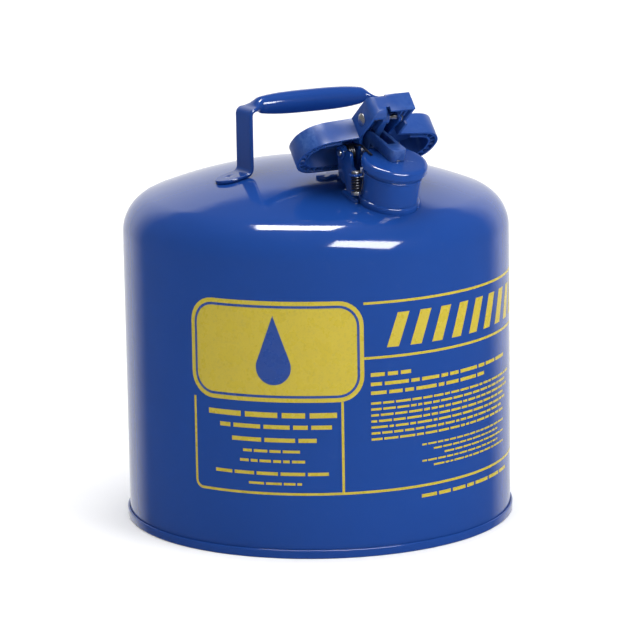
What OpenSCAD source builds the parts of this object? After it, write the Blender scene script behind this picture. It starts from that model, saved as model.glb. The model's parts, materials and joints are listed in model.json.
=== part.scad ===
// Five-gallon safety can: a drawn steel body with a domed top, a fixed carry
// handle, and a spring-closed spout lid that a two-winged trigger lifts.
// +Z is up, +X points out over the spout, and the handle runs along Y.

/* [Body] */
// Outside radius of the cylindrical wall
body_r = 157; // [156:0.5:158]
// Height at which the wall starts to turn into the shoulder
wall_h = 235.6; // [225:0.2:240]
// Radius of the shoulder between wall and crown
shoulder_r = 32.9; // [30:0.1:34]
// Slope of the crown where the shoulder meets it, in degrees
crown_slope = 21.35; // [21:0.05:22]
// Thickness of the steel of the body
sheet = 0.8; // [0.6:0.1:1.2]
// Height of the seam that rolls the bottom onto the wall
seam_h = 7; // [5:0.5:9]
// How far the seam stands out from the wall
seam_out = 2; // [1.5:0.25:2.5]
// Height of the recessed bottom above the ground
bottom_z = 11; // [10:0.5:14]

/* [Spout] */
// Distance of the spout's foot from the middle of the can
spout_x = 115; // [114:1:116]
// Outside radius of the spout's tube
tube_r = 22.6; // [22:0.1:22.8]
// Thickness of the tube's wall
tube_wall = 1.2; // [1:0.1:1.4]
// Length of the tube above the dome
tube_h = 32; // [31.5:0.1:32]
// Length of the flame arrester below the dome
arrester_len = 94; // [60:1:110]

/* [Lid] */
// Outside radius of the lid
lid_r = 26.3; // [26.1:0.1:26.5]
// Height of the lid's top above the dome, along the spout
lid_top = 36; // [36:0.1:36.5]
// Depth of the lid's rim
lid_rim = 7; // [6.5:0.5:9]
// Thickness of the lid's steel
lid_wall = 1.2; // [1:0.1:1.2]
// Distance of the lid's hinge pin from the middle of the can
hinge_x = 86; // [85.5:0.25:86.5]
// Height of the lid's hinge pin
hinge_z = 310; // [309.5:0.25:310.25]
// Radius of both pins
pin_r = 2.5; // [2.3:0.1:2.5]
// Width of the lid's arm
arm_w = 13; // [12.5:0.5:13.5]

/* [Trigger] */
// Distance of the trigger's pin from the middle of the can
trigger_x = 108.5; // [108:0.25:109]
// Height of the trigger's pin
trigger_z = 338.7; // [338.5:0.1:339]
// Rise of the trigger's plane towards the spout, in degrees
trigger_rise = 39; // [38:0.5:40]
// Radius of the corners of the wings
wing_corner = 22; // [21:0.5:22]
// Distance of a wing's corner centres from the middle
wing_reach = 40; // [38:0.5:41]
// Distance of the tail's corner centres behind the trigger's pin
wing_back = 40; // [38:0.5:40]
// Half the depth of the trigger's rim
rim_half = 9; // [8.5:0.25:9]
// Thickness of the trigger's walls
mould = 2.2; // [1.8:0.1:2.4]
// Half the width of the trigger's head on its knuckle side
head_w = 19.5; // [19.25:0.25:20]
// Reach of the trigger's head in front of its pin
head_reach = 20; // [19:0.5:20]

/* [Handle] */
// Width of the handle's strap
strap_w = 25; // [22:0.5:30]
// Thickness of the handle's strap
strap_t = 3; // [2.4:0.1:3.2]
// Place of the handle across the can
handle_x = 5; // [3:0.5:7]
// Shift of the handle's middle to the left of the spout
handle_shift = 6; // [0:0.5:7]
// Distance from the handle's middle to the outer face of each leg
leg_y = 62.5; // [62:0.5:65]
// Height of the top of the strap
strap_top = 340; // [335:0.5:342]
// Radius of the rolled grip
grip_r = 9.1; // [8:0.1:9.5]
// Length of the full-width part of the grip
grip_len = 44; // [30:1:50]

/* [Bracket] */
// Half the width of the bracket's base plate
plate_w = 31; // [30:0.5:33]
// Distance of the plate's rear bar from the middle of the can
plate_back = 57; // [56:0.5:60]
// Thickness of the base plate
plate_t = 2; // [1.8:0.1:2]
// Inner face of the outer ears, from the middle
ear_y = 22.6; // [22.6:0.1:23]
// Inner face of the yoke's cheeks, from the middle
yoke_y = 11.5; // [11.5:0.1:11.8]
// Thickness of the ears and the cheeks
ear_t = 2.5; // [2:0.1:2.5]

/* [Hidden] */
$fn = 96;

blue = [0.08, 0.20, 0.58];
nylon = [0.10, 0.24, 0.66];
bare = [0.72, 0.73, 0.75];
dark = [0.10, 0.10, 0.12];
rubber = [0.06, 0.06, 0.06];

fit = 0.05;       // gap between fixed pieces that seat on each other
run = 0.06;       // radial clearance of a turning piece on its pin
far = 400;        // larger than the can, for cutting

// The crown is a sphere that meets the shoulder's arc without a corner.
shoulder_x = body_r - shoulder_r;
crown_r = shoulder_r + shoulder_x / sin(crown_slope);
crown_z = wall_h - (crown_r - shoulder_r) * cos(crown_slope);

// The spout stands square to the crown.
spout_tilt = asin(spout_x / crown_r);
spout_z = crown_z + sqrt(crown_r ^ 2 - spout_x ^ 2);
tube_in = tube_r - tube_wall;

// The hinge and trigger pins as seen from the spout: along the lid, then up.
function from_spout(x, z) =
    [(x - spout_x) * cos(spout_tilt) - (z - spout_z) * sin(spout_tilt),
     (x - spout_x) * sin(spout_tilt) + (z - spout_z) * cos(spout_tilt)];
hinge = from_spout(hinge_x, hinge_z);
trigger = from_spout(trigger_x, trigger_z);
pins = norm(trigger - hinge);
lean = atan2(trigger.y - hinge.y, trigger.x - hinge.x);
pin_line = atan2(trigger_z - hinge_z, trigger_x - hinge_x);

// The trigger's nose pushes the lid's horn on the line between the pins, so the
// lid turns 1.5 degrees for each degree of the trigger.
lid_ratio = 1.5;
nose_reach = pins * lid_ratio / (1 + lid_ratio);
horn_reach = pins - nose_reach;
nose_tip = 2.5;

// ---------- shared shapes ----------

// Puts its children on the spout: +X along the lid, +Z out of the mouth.
module at_spout() {
    translate([spout_x, 0, spout_z])
        rotate([0, spout_tilt, 0])
            children();
}

// Puts its children on the trigger's pin: +X along the trigger's plane.
module at_trigger() {
    translate([trigger_x, 0, trigger_z])
        rotate([0, -trigger_rise, 0])
            children();
}

// A cylinder along Y from y0 to y1.
module y_rod(r, y0, y1) {
    translate([0, y0, 0])
        rotate([-90, 0, 0])
            cylinder(r = r, h = y1 - y0);
}

// A flat outline in X and Z, given thickness from y0 to y1.
module y_plate(y0, y1) {
    translate([0, y1, 0])
        rotate([90, 0, 0])
            linear_extrude(y1 - y0)
                children();
}

// Its children once on each side of the XZ plane.
module both_sides() {
    children();
    mirror([0, 1, 0])
        children();
}

// A bar between two round ends of different radius.
module link2d(p, rp, q, rq) {
    d = q - p;
    base = atan2(d.y, d.x);
    side = acos((rp - rq) / norm(d));
    translate(p)
        circle(rp);
    translate(q)
        circle(rq);
    polygon([p + rp * [cos(base + side), sin(base + side)],
             p + rp * [cos(base - side), sin(base - side)],
             q + rq * [cos(base - side), sin(base - side)],
             q + rq * [cos(base + side), sin(base + side)]]);
}

// A convex outline, its corners at pts in turn, grown by r with round corners.
module round_poly(pts, r) {
    n = len(pts);
    polygon(pts);
    for (i = [0 : n - 1])
        link2d(pts[i], r, pts[(i + 1) % n], r);
}

// A rectangle from lo to hi with round corners.
module round_rect(lo, hi, r) {
    round_poly([[lo.x + r, lo.y + r], [hi.x - r, lo.y + r],
                [hi.x - r, hi.y - r], [lo.x + r, hi.y - r]], r);
}

// Solid ball that follows the crown, `rise` above it.
module crown_ball(rise) {
    translate([0, 0, crown_z])
        sphere(crown_r + rise);
}

// A curved sheet that lies on the crown from `low` to `high` above it.
module crown_sheet(low, high) {
    intersection() {
        difference() {
            crown_ball(high);
            crown_ball(low);
        }
        translate([0, 0, 200])
            linear_extrude(far)
                children();
    }
}

// Points of a coil about +Z: radius r, from z0 to z1, `turns` turns from angle a0.
function coil(r, z0, z1, turns, a0) =
    [for (i = [0 : 14 * turns])
        let (t = i / (14 * turns))
        [r * cos(a0 + 360 * turns * t), r * sin(a0 + 360 * turns * t), z0 + (z1 - z0) * t]];

// A round wire along a path that never runs along `side`.
module wire(path, r, side) {
    n = len(path);
    m = 8;
    rings = [for (i = [0 : n - 1])
        let (t = path[min(i + 1, n - 1)] - path[max(i - 1, 0)],
             u = cross(t, side) / norm(cross(t, side)),
             v = cross(u, t) / norm(cross(u, t)))
        for (k = [0 : m - 1])
            path[i] + r * (cos(360 * k / m) * u + sin(360 * k / m) * v)];
    walls = [for (i = [0 : n - 2])
        for (k = [0 : m - 1])
            [i * m + k, (i + 1) * m + k, (i + 1) * m + (k + 1) % m, i * m + (k + 1) % m]];
    start = [for (k = [0 : m - 1]) k];
    end = [for (k = [m - 1 : -1 : 0]) (n - 1) * m + k];
    polyhedron(points = rings, faces = concat(walls, [start], [end]));
}

// ---------- the can ----------

// Outline of the can in radius and height, moved inwards by d. The crown sits a
// hair low, so that its arc crosses the shoulder's instead of only touching it.
module can_outline(d) {
    dip = 0.02;
    meet = shoulder_x + (shoulder_r - d) * sin(crown_slope);
    intersection() {
        translate([0, crown_z - dip])
            circle(crown_r - d, $fn = 360);
        union() {
            square([body_r - d, wall_h]);
            translate([shoulder_x, wall_h])
                circle(shoulder_r - d);
            square([meet, crown_z + crown_r + 10]);
        }
    }
}

module body_shell() {
    foot = 1.2;
    color(blue)
        difference() {
            rotate([0, 0, 180])
                rotate_extrude($fn = 180)
                    difference() {
                        can_outline(0);
                        can_outline(sheet);
                        translate([-far, -1])
                            square([2 * far, foot + 1]);
                        translate([-far, -far])
                            square([far, 3 * far]);
                    }
            at_spout()
                translate([0, 0, -20])
                    cylinder(r = tube_r + fit, h = 40);
        }
}

module bottom_pan() {
    wall_in = body_r - sheet;
    lip = 1;
    color(blue)
        rotate_extrude($fn = 180)
            difference() {
                union() {
                    // seam round the foot of the wall, with a round top
                    translate([body_r + fit, lip])
                        square([seam_out - fit, seam_h - lip - seam_out / 2]);
                    translate([body_r + seam_out / 2, seam_h - seam_out / 2])
                        circle(seam_out / 2 - fit);
                    translate([wall_in - sheet - fit, 0])
                        square([sheet * 2 + seam_out + fit - lip, lip]);
                    translate([body_r + seam_out - lip, lip])
                        circle(lip);
                    // wall that carries the recessed disc
                    translate([wall_in - sheet - fit, 0])
                        square([sheet, bottom_z]);
                    translate([0, bottom_z - sheet])
                        square([wall_in - fit, sheet]);
                    // stiffening bead pressed into the disc
                    translate([body_r * 0.62, bottom_z - sheet])
                        circle(4);
                }
                translate([body_r * 0.62, bottom_z - sheet])
                    circle(4 - sheet);
                translate([body_r * 0.62 - 5, bottom_z - sheet - 5])
                    square([10, 5]);
            }
}

// ---------- the spout ----------

module spout_collar() {
    rim_r = 23.8;
    rim_h = 3;
    ring_out = 1.9;
    ring_h = 4.4;
    bead = 1.1;
    bead_z = 24.6;
    tail = 4;
    color(blue)
        difference() {
            at_spout()
                rotate_extrude()
                    difference() {
                        union() {
                            translate([tube_in, -tail])
                                square([tube_wall, tube_h + tail - 0.5]);
                            // rolled rim that the gasket seals on
                            translate([tube_in + 0.8, tube_h - rim_h])
                                square([rim_r - tube_in - 2, rim_h]);
                            translate([rim_r - rim_h / 2, tube_h - rim_h / 2])
                                circle(rim_h / 2);
                            translate([tube_in + 0.8, tube_h - 0.8])
                                circle(0.8);
                            // bead just below the lid's rim
                            translate([tube_r + 0.2, bead_z])
                                circle(bead);
                            // ring that seats on the dome
                            translate([tube_r - 0.3, -2])
                                square([ring_out + 0.3, 2 + ring_h - ring_out]);
                            translate([tube_r, ring_h - ring_out])
                                circle(ring_out);
                        }
                        translate([0, -10])
                            square([tube_in, 60]);
                    }
            // the ring's foot follows the crown; the tube passes through it
            difference() {
                crown_ball(fit);
                at_spout()
                    translate([0, 0, -20])
                        cylinder(r = tube_r, h = 40);
            }
        }
}

arrester_top = 21;
screen_r = 19.4;
screen_t = 0.8;
screen_gap = 2.4;

module arrester_retainer() {
    out = tube_in - fit;
    color(bare)
        at_spout()
            rotate_extrude()
                union() {
                    translate([screen_r - screen_gap - screen_t - 0.6, arrester_top])
                        square([out - screen_r + screen_gap + screen_t + 0.6, 1.6]);
                    translate([out - 1, arrester_top])
                        square([1, 4]);
                }
}

module arrester_outer_screen() {
    color(bare)
        at_spout()
            rotate_extrude()
                translate([screen_r - screen_t, -arrester_len])
                    square([screen_t, arrester_len + arrester_top]);
}

module arrester_inner_screen() {
    color(bare)
        at_spout()
            rotate_extrude()
                translate([screen_r - screen_gap - screen_t, -arrester_len])
                    square([screen_t, arrester_len + arrester_top]);
}

module arrester_end_cap() {
    floor_t = 1.6;
    lip = 8;
    color(bare)
        at_spout()
            rotate_extrude()
                union() {
                    translate([0, -arrester_len - floor_t])
                        square([screen_r + fit + 1, floor_t]);
                    translate([screen_r + fit, -arrester_len - floor_t])
                        square([1, lip]);
                }
}

// ---------- the handle ----------

pad_gap = 0.18;

// Side view of one leg: foot bend, upright and top bend, in Y and Z, for a leg
// that stands `shift` further out than leg_y.
module leg_outline(shift) {
    bend = 4.5;
    top_bend = 6;
    foot_c = leg_y + bend;
    on_crown = crown_r + pad_gap + strap_t + bend;
    foot_z = crown_z + sqrt(on_crown ^ 2 - (foot_c + shift) ^ 2);
    slope = asin((foot_c + shift) / on_crown);
    join = 0.4;
    translate([-leg_y, foot_z - join])
        square([strap_t, strap_top - top_bend - foot_z + 2 * join]);
    translate([-leg_y + top_bend, strap_top - top_bend])
        intersection() {
            difference() {
                circle(top_bend);
                circle(top_bend - strap_t);
            }
            translate([-top_bend, 0])
                square(top_bend);
        }
    translate([-foot_c, foot_z])
        intersection() {
            difference() {
                circle(bend + strap_t);
                circle(bend);
            }
            polygon([[0, 0], [20, 0], [20, -20], [20 * sin(slope), -20 * cos(slope)]]);
        }
}

// Half of the rolled grip's outline: distance from its middle, then radius.
module grip_outline() {
    polygon([[0, 0], [grip_r, 0], [grip_r, grip_len / 2], [grip_r - 1, grip_len / 2 + 16],
             [grip_r - 3.6, grip_len / 2 + 28], [2.2, grip_len / 2 + 34],
             [0, grip_len / 2 + 34]]);
}

module carry_handle() {
    pad_c = leg_y + 12;
    grip_z = strap_top + 0.7;
    hollow = grip_r - 1.6;
    module side(shift) {
        translate([strap_w / 2, 0, 0])
            rotate([90, 0, -90])
                mirror([1, 0, 0])
                    linear_extrude(strap_w)
                        leg_outline(shift);
        // flattened end of the roll
        translate([-strap_w / 2, -leg_y + 5.9, strap_top - strap_t])
            cube([strap_w, 6, strap_t]);
        translate([0, 0, grip_z])
            rotate([90, 0, 0])
                rotate_extrude()
                    grip_outline();
    }
    color(blue)
        difference() {
            union() {
                translate([handle_x, -handle_shift, 0]) {
                    side(handle_shift);
                    mirror([0, 1, 0])
                        side(-handle_shift);
                }
                // pads welded to the dome
                for (y = [-handle_shift - pad_c, -handle_shift + pad_c])
                    crown_sheet(pad_gap, pad_gap + strap_t)
                        pad_outline(y, sign(y));
                // strip between the two folds, narrowing under the roll
                translate([handle_x - 8, -handle_shift - leg_y + 11.5, strap_top - strap_t])
                    cube([16, 2 * leg_y - 23, strap_t]);
            }
            translate([handle_x, -handle_shift, grip_z])
                y_rod(hollow, -grip_len / 2, grip_len / 2);
        }
}

// Plan of a pad: round outer end, square under the leg's bend.
module pad_outline(y, side) {
    reach = 14 - strap_t;
    translate([handle_x, y])
        circle(strap_w / 2);
    translate([handle_x - strap_w / 2, side < 0 ? y : y - reach])
        square([strap_w, reach]);
}

// ---------- the bracket ----------

plate_low = fit;
plate_top = plate_low + plate_t;
web_top = plate_top + fit + plate_t;
tab_x = 112.5;
tab_y = 27.6;
tab_z = 295.7;
tab_t = 1.6;
screw_r = 2;
yoke_foot = [77, 92];

// Keeps its children above a sheet that lies on the crown.
module above_crown(rise) {
    difference() {
        children();
        crown_ball(rise);
    }
}

// Plan of the base plate: a rear bar, a neck and a front that clasps the spout.
module plate_outline() {
    bar_r = 5.5;
    neck_w = 17;
    front = 111;
    round_poly([[plate_back, -plate_w + bar_r], [plate_back + 1, -plate_w + bar_r],
                [plate_back + 1, plate_w - bar_r], [plate_back, plate_w - bar_r]], bar_r);
    translate([plate_back, -neck_w])
        square([front - 8 - plate_back, 2 * neck_w]);
    round_rect([91, -plate_w + 1.5], [front, plate_w - 1.5], 4);
}

// Side view of an outer ear, its foot cut up towards the rear, and of the arm
// that carries the adjuster's tab on the left one.
module ear_outline(arm) {
    ear_r = 6;
    top = hinge_z + 2.5;
    translate([hinge_x, hinge_z])
        circle(ear_r);
    translate([96, top - 4])
        circle(4);
    polygon([[hinge_x, hinge_z - 6], [hinge_x, top], [96, top], [100, top - 4],
             [101.5, tab_z + 5], [101.5, 270], [95, 270], [92, 285], [81, 291],
             [hinge_x - ear_r, hinge_z]]);
    if (arm)
        polygon([[99, tab_z + 6], [101.5, tab_z + 5], [107, tab_z + tab_t],
                 [tab_x + 3, tab_z + tab_t], [tab_x + 3, tab_z], [107, tab_z],
                 [101.5, tab_z - 6], [99, tab_z - 6]]);
}

module hinge_bracket() {
    color(blue)
        difference() {
            union() {
                crown_sheet(plate_low, plate_top)
                    plate_outline();
                above_crown(plate_low + plate_t / 2) {
                    y_plate(ear_y, ear_y + ear_t)
                        ear_outline(false);
                    y_plate(-ear_y - ear_t, -ear_y)
                        ear_outline(true);
                }
                // tab that holds the adjuster screw
                translate([tab_x - 4, -tab_y - 4, tab_z])
                    cube([8, tab_y + 4 - ear_y, tab_t]);
            }
            at_spout()
                translate([0, 0, -30])
                    cylinder(r = tube_r + 2.4, h = 60);
            translate([hinge_x, 0, hinge_z])
                y_rod(pin_r + fit, -60, 60);
            translate([tab_x, -tab_y, tab_z - 1])
                cylinder(r = screw_r + fit, h = tab_t + 2);
        }
}

// The cheek's side view: a post bent back between its pins, clear of the lid's edge.
module yoke_outline() {
    head_r = 5.2;
    seat_r = 6.4;
    knee_r = 4.6;
    foot = yoke_foot;
    knee = [hinge_x, hinge_z] + 19 * [cos(pin_line + 15), sin(pin_line + 15)];
    link2d([trigger_x, trigger_z], head_r, knee, knee_r);
    link2d([hinge_x, hinge_z], seat_r, knee, knee_r);
    polygon([[hinge_x + seat_r, hinge_z], [foot[1], 290], [foot[1], 268], [foot[0], 268],
             [foot[0], 290], [hinge_x - seat_r, hinge_z]]);
}

module trigger_yoke() {
    color(blue)
        difference() {
            union() {
                both_sides()
                    above_crown(plate_top + fit)
                        y_plate(yoke_y, yoke_y + ear_t)
                            yoke_outline();
                crown_sheet(plate_top + fit, web_top)
                    translate([yoke_foot[0], -yoke_y - 1])
                        square([yoke_foot[1] - yoke_foot[0], 2 * yoke_y + 2]);
            }
            at_spout()
                translate([0, 0, -30])
                    cylinder(r = tube_r + 2.4, h = 60);
            translate([hinge_x, 0, hinge_z])
                y_rod(pin_r + fit, -60, 60);
            translate([trigger_x, 0, trigger_z])
                y_rod(pin_r + fit, -60, 60);
        }
}

// ---------- pins and small metal ----------

clip_t = 1.4;

module hinge_pin() {
    head_r = 4.4;
    head_t = 2;
    right = ear_y + ear_t;
    color(bare)
        translate([hinge_x, 0, hinge_z]) {
            y_rod(pin_r, -right - clip_t - 1.2, right + fit + head_t);
            y_rod(head_r, right + fit, right + fit + head_t);
        }
}

module hinge_pin_clip() {
    color(bare)
        translate([hinge_x, 0, hinge_z])
            difference() {
                y_rod(5.6, -ear_y - ear_t - fit - clip_t, -ear_y - ear_t - fit);
                y_rod(pin_r + 0.02, -60, 0);
            }
}

// A low round rivet head on the outside of the trigger, pointing along +Y.
module rivet_head() {
    head_r = 5;
    head_t = 1.9;
    ball = (head_r ^ 2 + head_t ^ 2) / (2 * head_t);
    rotate([-90, 0, 0])
        intersection() {
            translate([0, 0, head_t - ball])
                sphere(ball);
            cylinder(r = head_r, h = head_t);
        }
}

right_w = head_w - 1.5;

module trigger_pin() {
    color(bare)
        translate([trigger_x, 0, trigger_z]) {
            y_rod(pin_r, -head_w - 0.1, right_w + 0.1);
            translate([0, right_w + 0.1, 0])
                rivet_head();
            translate([0, -head_w - 0.1, 0])
                mirror([0, 1, 0])
                    rivet_head();
        }
}

module trigger_spacers() {
    from = yoke_y + ear_t + fit;
    color(bare)
        translate([trigger_x, 0, trigger_z])
            difference() {
                union() {
                    y_rod(5, from, right_w - mould - 0.3);
                    y_rod(5, -head_w + mould + 0.3, -from);
                }
                y_rod(pin_r + 0.02, -60, 60);
            }
}

// Closing spring: its coil sits on the pin between the yoke and the ear, one leg
// stands on the plate behind the pin and the other presses on the lid.
module torsion_spring() {
    wire_r = 0.9;
    coil_r = 6;
    turns = 3.25;
    outer = -ear_y + wire_r + 0.25;
    inner = outer + 1.92 * turns;
    lid_y = -16.3;
    on_lid = lid_top + wire_r + 0.15;
    // the coil runs from the back of the pin over its top, ending at the top
    helix = [for (p = coil(coil_r, outer, inner, turns, 180)) [p.x, p.z, -p.y]];
    foot = [[-8, -15.6, -22.4], [-7.4, -17.5, -16], [-6.4, -outer * -0.95, -8]];
    turned = [for (p = helix)
        [hinge.x + p.x * cos(spout_tilt) - p.z * sin(spout_tilt), p.y,
         hinge.y + p.x * sin(spout_tilt) + p.z * cos(spout_tilt)]];
    low = [for (p = foot)
        [hinge.x + p.x * cos(spout_tilt) - p.z * sin(spout_tilt), p.y,
         hinge.y + p.x * sin(spout_tilt) + p.z * cos(spout_tilt)]];
    leg = [[hinge.x + 6, lid_y + 0.6, hinge.y + 8.4], [hinge.x + 12, lid_y, hinge.y + 11.6],
           [-22.5, lid_y, on_lid + 0.3], [-19, lid_y, on_lid], [-9, lid_y, on_lid]];
    color(dark)
        at_spout()
            wire(concat(low, turned, leg), wire_r, [0, 1, 0]);
}

nut_z = 280.6;

module adjuster_screw() {
    low = nut_z + 0.6;
    color(bare)
        translate([tab_x, -tab_y, 0]) {
            translate([0, 0, low])
                cylinder(r = screw_r, h = tab_z + tab_t + 1 - low);
            translate([0, 0, tab_z + tab_t + fit])
                cylinder(r = 3.6, h = 2);
        }
}

module adjuster_spring() {
    color(dark)
        translate([tab_x, -tab_y, 0])
            wire(coil(3.4, nut_z + 3.6, tab_z - 0.9, 5, 0), 0.8, [0, 0, 1]);
}

module adjuster_nut() {
    color(bare)
        translate([tab_x, -tab_y, nut_z])
            difference() {
                cylinder(r = 3.9, h = 2.7, $fn = 6);
                translate([0, 0, 0.6])
                    cylinder(r = screw_r + 0.02, h = 4);
            }
}

// ---------- the trigger ----------

wing_front = 37;
neck_back = 34;
neck_reach = 16;
box_low = -6;
split = -4;          // where the rounded half of the head meets the square half
knuckle_r = 7;

// The two wings, moved inwards by d: X along the trigger, Y across it.
module wings(d) {
    round_poly([[-neck_back, neck_reach], [-wing_front, wing_reach], [-wing_back, wing_reach],
                [-wing_back, -wing_reach], [-wing_front, -wing_reach],
                [-neck_back, -neck_reach]], wing_corner - d);
}

module lever_outline(d) {
    wings(d);
    translate([-neck_back, -head_w + knuckle_r])
        square([neck_back + head_reach - d, head_w + right_w - knuckle_r - d]);
    translate([-neck_back, -head_w + d])
        square([neck_back + head_reach - knuckle_r, knuckle_r]);
    translate([head_reach - knuckle_r, -head_w + knuckle_r])
        circle(knuckle_r - d);
}

// Cross ribs that part the rim into pockets, seen from below.
module rim_ribs() {
    rib = 1.6;
    intersection() {
        difference() {
            wings(mould - 0.2);
            wings(7);
        }
        union() {
            for (s = [-1, 1]) {
                for (a = [20 : 20 : 180])
                    translate([-wing_back, s * wing_reach])
                        rotate(s * a)
                            translate([0, -rib / 2])
                                square([40, rib]);
            }
            for (a = [-wing_reach + 7.5 : 7.6 : wing_reach - 7])
                translate([-wing_back - 40, a - rib / 2])
                    square([40, rib]);
        }
    }
}

// What a round of radius r takes off the head's top (side 1) or bottom (-1) front edge.
module front_corner(r, side) {
    translate([head_reach - r, side * (rim_half - r)])
        difference() {
            translate([0, side < 0 ? -r - 1 : 0])
                square(r + 1);
            circle(r);
        }
}

module trigger_lever() {
    web = mould;
    color(nylon)
        difference() {
            union() {
                at_trigger() {
                    // rim wall
                    translate([0, 0, -rim_half])
                        linear_extrude(2 * rim_half - web / 2)
                            difference() {
                                lever_outline(0);
                                lever_outline(mould);
                            }
                    // web across the top
                    translate([0, 0, rim_half - web])
                        linear_extrude(web)
                            lever_outline(0);
                    // inner wall and cross ribs of the rim
                    translate([0, 0, -rim_half + 0.6])
                        linear_extrude(2 * rim_half - web)
                            intersection() {
                                union() {
                                    difference() {
                                        wings(6.5);
                                        wings(8.1);
                                    }
                                    rim_ribs();
                                }
                                union() {
                                    translate([-80, 31])
                                        square([80, 40]);
                                    translate([-80, -71])
                                        square([80, 40]);
                                    translate([-80, -40])
                                        square([80 - wing_back, 80]);
                                }
                            }
                    // ribs inside the square half of the head
                    for (a = [7.8, 11.8])
                        translate([8, a, -5])
                            cube([head_reach - 9, 1.6, 5 + rim_half - web / 2]);
                    // front wall of the rounded half, curling back under
                    intersection() {
                        y_plate(-head_w, -arm_w / 2 - 0.5)
                            translate([head_reach - knuckle_r, knuckle_r - rim_half])
                                intersection() {
                                    difference() {
                                        circle(knuckle_r);
                                        circle(knuckle_r - mould);
                                    }
                                    translate([0, -knuckle_r])
                                        square(knuckle_r);
                                }
                        translate([0, 0, -rim_half])
                            linear_extrude(2 * rim_half)
                                lever_outline(0);
                    }
                    // rib that carries the nose
                    y_plate(-3, 3) {
                        circle(5.2);
                        translate([-5.2, 0])
                            square([10.4, rim_half - 1]);
                    }
                }
                translate([trigger_x, 0, trigger_z])
                    y_plate(-2.8, 2.8)
                        link2d([0, 0], 3.6,
                               -nose_reach * [cos(pin_line), sin(pin_line)], nose_tip);
            }
            at_trigger() {
                y_rod(pin_r + run, -60, 60);
                // front edges of the rounded half
                y_plate(-60, split) {
                    front_corner(knuckle_r, -1);
                    front_corner(3, 1);
                }
                // the square half's wall stops short of the lid's arm
                translate([mould, split - 0.1, -rim_half - 1])
                    cube([60, 60, 1 + rim_half + box_low]);
                // slot through the rounded half's front for the lid's arm
                translate([6, -arm_w / 2 - 1, -rim_half - 1])
                    cube([60, arm_w / 2 + 1.1 + split, rim_half - 1]);
            }
        }
}

// ---------- the lid ----------

lid_corner = 3.4;
arm_low = lid_top + 0.3;
arm_high = lid_top + 9.5;
arm_mid = (arm_low + arm_high) / 2;
arm_half = (arm_high - arm_low) / 2;
arm_tip = 5;
gasket_low = tube_h + 0.15;
gasket_high = lid_top - lid_wall - 2 * fit;
plate_bottom = gasket_low - 1.2;
stud_r = 2.5;

module lid_arm() {
    hub_r = 6.5;
    hub_y = yoke_y - 0.5;
    slot = 3.6;
    slot_end = -8;
    horn_gap = 0.35;
    elbow = [hinge.x + 6.5, arm_mid - 0.4];
    color(nylon)
        at_spout()
            difference() {
                union() {
                    translate([hinge.x, 0, hinge.y])
                        y_rod(hub_r, -hub_y, hub_y);
                    // two cheeks that rise behind the lid and run over it
                    both_sides()
                        y_plate(slot, arm_w / 2) {
                            link2d(hinge, hub_r, elbow, arm_half + 0.4);
                            link2d([elbow.x, arm_mid], arm_half, [slot_end, arm_mid], arm_half);
                        }
                    // block that presses on the middle of the lid
                    translate([0, 0, arm_low])
                        linear_extrude(arm_high - arm_low)
                            round_rect([slot_end, -arm_w / 2], [arm_tip, arm_w / 2], 3);
                    // horn that the trigger's nose pushes back
                    translate([hinge.x, 0, hinge.y])
                        rotate([0, 90 - lean, 0])
                            y_plate(-3, 3)
                                polygon([[-6.4, 0], [-nose_tip - horn_gap, 0],
                                         [-nose_tip - horn_gap, horn_reach + 4],
                                         [-4.6, horn_reach + 4]]);
                }
                translate([hinge.x, 0, hinge.y])
                    y_rod(pin_r + run, -60, 60);
                translate([0, 0, lid_top - 1])
                    cylinder(r = stud_r + fit, h = 9);
                translate([0, 0, arm_low - 1])
                    cylinder(r = 5.2, h = 2);
            }
}

module lid_cap() {
    corner = lid_corner;
    curl = 0.9;
    low = lid_top - lid_rim;
    color(blue)
        at_spout()
            rotate_extrude()
                difference() {
                    union() {
                        translate([0, low + curl])
                            square([lid_r, lid_rim - curl - corner]);
                        translate([0, lid_top - corner - 1])
                            square([lid_r - corner, corner + 1]);
                        translate([lid_r - corner, lid_top - corner])
                            circle(corner);
                        translate([lid_r - curl, low + curl])
                            circle(curl);
                    }
                    translate([0, low - 1])
                        square([lid_r - lid_wall, 1 + lid_rim - corner]);
                    translate([0, low])
                        square([lid_r - corner, lid_rim - lid_wall]);
                    translate([lid_r - corner, lid_top - corner])
                        circle(corner - lid_wall);
                    square([stud_r + fit, 2 * lid_top]);
                }
}

module lid_gasket() {
    color(rubber)
        at_spout()
            rotate_extrude()
                translate([stud_r + 0.3, gasket_low])
                    square([lid_r - lid_corner + 0.2 - stud_r - 0.3, gasket_high - gasket_low]);
}

module lid_plate() {
    color(bare)
        at_spout()
            rotate_extrude()
                translate([stud_r + fit, plate_bottom])
                    square([tube_in - 3.5 - stud_r, gasket_low - fit - plate_bottom]);
}

module lid_rivet() {
    color(bare)
        at_spout() {
            translate([0, 0, plate_bottom - 1.6])
                cylinder(r = 5.5, h = 1.55);
            translate([0, 0, plate_bottom - 0.5])
                cylinder(r = stud_r, h = lid_top + 7.5 - plate_bottom);
        }
}

module lid_washer() {
    color(bare)
        at_spout()
            translate([0, 0, lid_top + fit])
                difference() {
                    cylinder(r = 5, h = 1.1);
                    translate([0, 0, -1])
                        cylinder(r = stud_r + fit, h = 4);
                }
}

body_shell();
bottom_pan();
spout_collar();
arrester_retainer();
arrester_outer_screen();
arrester_inner_screen();
arrester_end_cap();
carry_handle();
hinge_bracket();
trigger_yoke();
hinge_pin();
hinge_pin_clip();
trigger_pin();
trigger_spacers();
torsion_spring();
adjuster_screw();
adjuster_spring();
adjuster_nut();
trigger_lever();
lid_arm();
lid_cap();
lid_gasket();
lid_plate();
lid_rivet();
lid_washer();
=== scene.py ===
"""The looks of a five-gallon steel safety can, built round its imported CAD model."""

import json
import math
import random

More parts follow.
